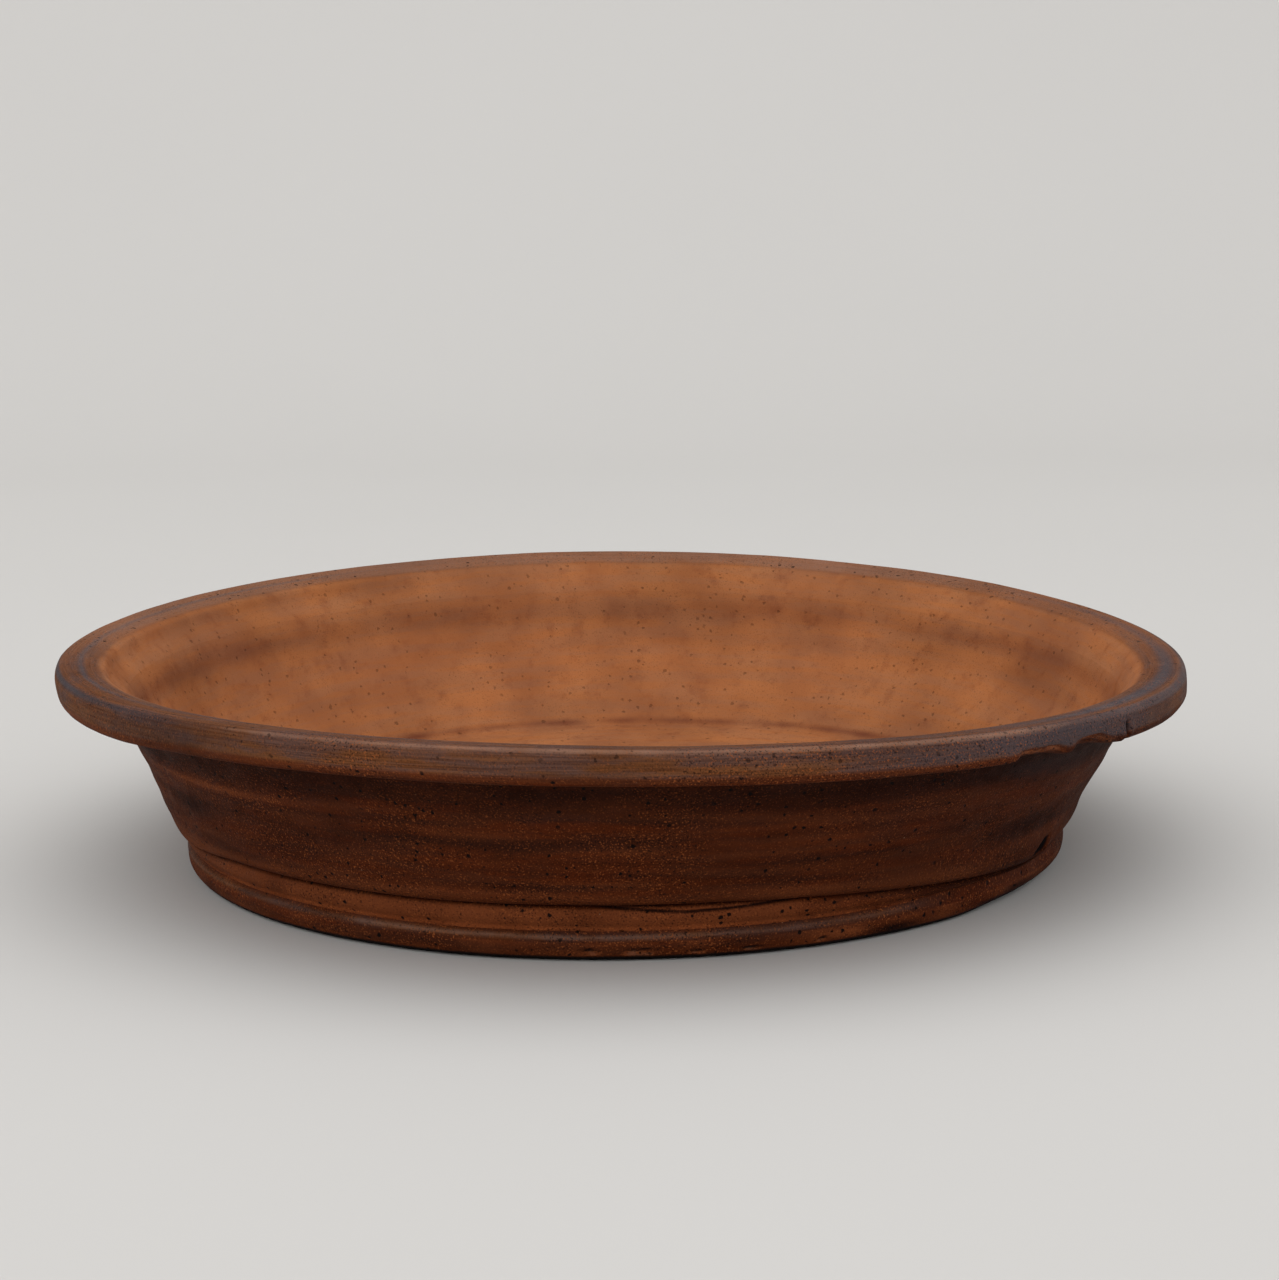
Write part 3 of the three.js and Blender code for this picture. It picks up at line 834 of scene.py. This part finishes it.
def drilled(made, holes):
    """Cuts (x, y, radius) holes through a piece."""
    cutter = drill("cutter", holes)
    cut = made.modifiers.new("holes", "BOOLEAN")
    cut.operation, cut.solver, cut.object = "DIFFERENCE", "MANIFOLD", cutter
    evaluated = made.evaluated_get(bpy.context.evaluated_depsgraph_get())
    mesh = bpy.data.meshes.new_from_object(evaluated)
    mesh.materials.clear()
    made.modifiers.clear()
    made.data = mesh
    bpy.data.objects.remove(cutter)
    mesh.shade_smooth()
    mesh.set_sharp_from_angle(angle=SHARP_ANGLE)


foot = turned("foot_clay", outline((FOOT_INNER, 1.2), (FOOT_BASE, 1.6), (FOOT_OUTER, 0.5),
                                   (FOOT_SEAM, 5)))
slab = turned("slab_clay", outline((SLAB_UNDERSIDE, 4.5), ([SLAB_UNDERSIDE[-1], SLAB_EDGE[0]], 7),
                                   (SLAB_EDGE, 0.42), (SLAB_SEAM, 5), (SLAB_FLOOR[:3], 1.0),
                                   (SLAB_FLOOR[2:], 2.6)))
holes = [(*polar(DRAIN_HOLE_CIRCLE, a), DRAIN_HOLE_RADIUS) for a in DRAIN_HOLE_ANGLES]
holes += [(*polar(TIE_HOLE_CIRCLE, a), TIE_HOLE_RADIUS) for a in TIE_HOLE_ANGLES]
drilled(slab, holes)
wall = turned("wall_clay", outline((SLAB_SEAM[::-1], 5), (WALL_OUTER[:7], 0.55), (WALL_OUTER[6:], 0.9),
                                   (WALL_SEAM, 3), (WALL_INNER, 1.15)))
lip = turned("lip_clay", outline((WALL_SEAM[::-1], 3), (LIP_UNDER[:6], 0.7), (LIP_UNDER[5:13], 0.42),
                                 (LIP_UNDER[12:], 0.7)))
for made in (foot, slab, wall, lip):
    relieve(made)

place_piece(foot, "foot_ring", stoneware("foot stoneware"))
place_piece(slab, "base_slab", stoneware("slab stoneware"))
place_piece(wall, "wall", stoneware("wall stoneware"))
place_piece(lip, "lip", stoneware("lip stoneware"))


# ---------------------------------------------------------------- screens and clips
SCREEN_SIDE, SCREEN_THICKNESS, SCREEN_CELLS = 37.6, 1.2, 15
BAR_WIDTH, BAR_HEIGHT, BAR_SIDES, BAR_STEPS = 0.66, 0.68, 8, 46
WIRE_RADIUS, WIRE_SIDES, WIRE_STEP = 0.8, 14, 0.55
CLIP_LEG_X, CLIP_LOOP_RADIUS, CLIP_TAIL = 7.2, 4.0, 9.0
SEAM_GAP = 0.3


def tube(path, radii, sides):
    """Vertices and faces of a round closed tube along a path, its frame carried along without a twist."""
    path = np.array(path, float)
    heading = np.gradient(path, axis=0)
    heading /= np.linalg.norm(heading, axis=1)[:, None]
    across = np.cross(heading[0], (0.0, 0.0, 1.0))
    if np.linalg.norm(across) < 1e-6:
        across = np.array((1.0, 0.0, 0.0))
    across /= np.linalg.norm(across)
    vertices = []
    for point, direction, radius in zip(path, heading, radii):
        across = across - direction * np.dot(across, direction)
        across /= np.linalg.norm(across)
        other = np.cross(direction, across)
        for side in range(sides):
            c, s = polar(radius, side * 360 / sides)
            vertices.append(point + across * c + other * s)
    faces = []
    for ring in range(len(path) - 1):
        for side in range(sides):
            a, b = ring * sides + side, ring * sides + (side + 1) % sides
            faces.append((a, b, b + sides, a + sides))
    last = (len(path) - 1) * sides
    faces.append(tuple(range(sides))[::-1])
    faces.append(tuple(last + side for side in range(sides)))
    return vertices, faces


def mesh_screen(name, x, y):
    """Extruded plastic netting: round-backed bars one way, and the same across them, fused together."""
    low = FLOOR_TOP + SEAM_GAP
    half = SCREEN_SIDE / 2 - BAR_WIDTH / 2
    vertices, faces = [], []
    for layer, height in enumerate((low + BAR_HEIGHT / 2, low + SCREEN_THICKNESS - BAR_HEIGHT / 2)):
        for row in range(SCREEN_CELLS + 1):
            offset = -half + 2 * half * row / SCREEN_CELLS
            reach = np.linspace(-SCREEN_SIDE / 2, SCREEN_SIDE / 2, BAR_STEPS + 1)
            # Soft plastic bars are never quite straight, nor the same width all along.
            sway = 0.07 * np.sin(reach * 0.9 + row * 1.7)
            path = [(t, offset + w, height) if layer == 0 else (offset + w, t, height)
                    for t, w in zip(reach, sway)]
            radii = 0.5 * BAR_WIDTH * (1 + 0.06 * np.sin(reach * 2.61 + row))
            path = [(x + px, y + py, pz) for px, py, pz in path]
            bar_vertices, bar_faces = tube(path, radii, BAR_SIDES)
            first = len(vertices)
            vertices += bar_vertices
            faces += [tuple(first + i for i in face) for face in bar_faces]
    made = new_object(name, (np.array(vertices) / MILLIMETRES).tolist(), faces)
    made.data.shade_smooth()
    made.data.set_sharp_from_angle(angle=math.radians(60))
    return made


def clip_half():
    """Half of a clip: half the bar across the screen, a loop, a leg down the hole, a turned-out tail."""
    loop_x = CLIP_LEG_X + CLIP_LOOP_RADIUS
    top = SEAM_GAP * 2 + SCREEN_THICKNESS + WIRE_RADIUS
    tail = FLOOR_UNDERSIDE - FLOOR_TOP - SEAM_GAP - WIRE_RADIUS
    points = [(0.0, CLIP_LOOP_RADIUS, top), (CLIP_LEG_X * 0.5, CLIP_LOOP_RADIUS, top)]
    for degrees in (90, 60, 30, 0, -30, -60, -90, -120, -145):
        px, py = polar(CLIP_LOOP_RADIUS, degrees)
        points.append((loop_x + px, py, top))
    points += [(CLIP_LEG_X + 0.05, -0.5, top - 1.4), (CLIP_LEG_X, -0.05, top - 3.2),
               (CLIP_LEG_X, 0.0, tail + 2.6), (CLIP_LEG_X + 0.8, 0.0, tail + 0.8),
               (CLIP_LEG_X + 2.6, 0.0, tail), (CLIP_LEG_X + CLIP_TAIL, 0.0, tail)]
    return points


def wire_clip(name, x, y):
    """A bent wire clip over the drain hole at x, y, the same on both sides."""
    right = clip_half()
    left = [(-px, py, pz) for px, py, pz in right[:0:-1]]
    path = along(left + right, WIRE_STEP) + np.array((x, y, FLOOR_TOP))
    radii = np.full(len(path), WIRE_RADIUS)
    radii[0] = radii[-1] = WIRE_RADIUS * 0.82
    vertices, faces = tube(path, radii, WIRE_SIDES)
    made = new_object(name, (np.array(vertices) / MILLIMETRES).tolist(), faces)
    made.data.shade_smooth()
    made.data.set_sharp_from_angle(angle=SHARP_ANGLE)
    return made


netting, wire = plastic("netting plastic"), aluminium("clip aluminium")
for number in (1, 2, 3):
    low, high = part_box(f"drain_screen_{number}")
    middle = (low + high) / 2 * MILLIMETRES
    place_piece(mesh_screen(f"netting_{number}", middle.x, middle.y), f"drain_screen_{number}",
                netting)
    low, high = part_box(f"wire_clip_{number}")
    middle_x = (low + high).x / 2 * MILLIMETRES
    place_piece(wire_clip(f"clip_{number}", middle_x, middle.y), f"wire_clip_{number}",
                wire)


# ---------------------------------------------------------------- floor, light and camera
# The sweep, in metres.
FLOOR_NEAR, FLOOR_FAR, SWEEP_RADIUS, BACKDROP_HEIGHT, FLOOR_HALF_WIDTH = -2.2, 1.0, 0.8, 2.6, 3.0


def sweep():
    """A floor that curves up into a backdrop behind the pot."""
    reach = [(FLOOR_NEAR, 0.0), (FLOOR_FAR, 0.0)]
    reach += [(FLOOR_FAR + SWEEP_RADIUS * math.sin(a), SWEEP_RADIUS - SWEEP_RADIUS * math.cos(a))
              for a in np.linspace(0.05, math.pi / 2, 24)]
    reach += [(FLOOR_FAR + SWEEP_RADIUS, BACKDROP_HEIGHT)]
    vertices = [(x, y, z) for y, z in reach for x in (-FLOOR_HALF_WIDTH, FLOOR_HALF_WIDTH)]
    faces = [(2 * i, 2 * i + 1, 2 * i + 3, 2 * i + 2) for i in range(len(reach) - 1)]
    made = new_object("studio_sweep", vertices, faces)
    made.data.shade_smooth()
    made.data.materials.append(paper("pale sweep", (206, 204, 200)))
    return made


sweep()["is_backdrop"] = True


def softbox(name, location, size, power):
    """A round white light that faces the pot."""
    light = bpy.data.lights.new(name, "AREA")
    light.shape, light.size, light.energy = "DISK", size, power
    made = bpy.data.objects.new(name, light)
    made.location = location
    made.rotation_euler = (-Vector(location)).to_track_quat("-Z", "Y").to_euler()
    bpy.context.scene.collection.objects.link(made)


softbox("overhead", (-0.25, -0.25, 2.0), size=3.8, power=18)
softbox("front fill", (-0.3, -2.2, 0.9), size=1.6, power=3)

world = bpy.data.worlds.new("studio")
world.use_nodes = True
background = world.node_tree.nodes["Background"]
background.inputs["Color"].default_value = (0.98, 0.98, 1.0, 1.0)
background.inputs["Strength"].default_value = 0.93
scene = bpy.context.scene
scene.world = world
scene.view_settings.view_transform = "Standard"

# Where the viewer stands, in metres, how far the view is raised from straight down, and its lean.
CAMERA_PLACE, CAMERA_PITCH, CAMERA_LEAN = (0.00572, -0.8675, 0.2135), 80.085, -0.89
camera_data = bpy.data.cameras.new("camera")
camera_data.lens = 83.25
camera_data.sensor_width = 36.0
camera = bpy.data.objects.new("camera", camera_data)
scene.collection.objects.link(camera)
camera.matrix_world = (Matrix.Translation(CAMERA_PLACE)
                       @ Matrix.Rotation(math.radians(CAMERA_PITCH), 4, "X")
                       @ Matrix.Rotation(math.radians(CAMERA_LEAN), 4, "Z"))
scene.camera = camera

low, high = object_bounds()
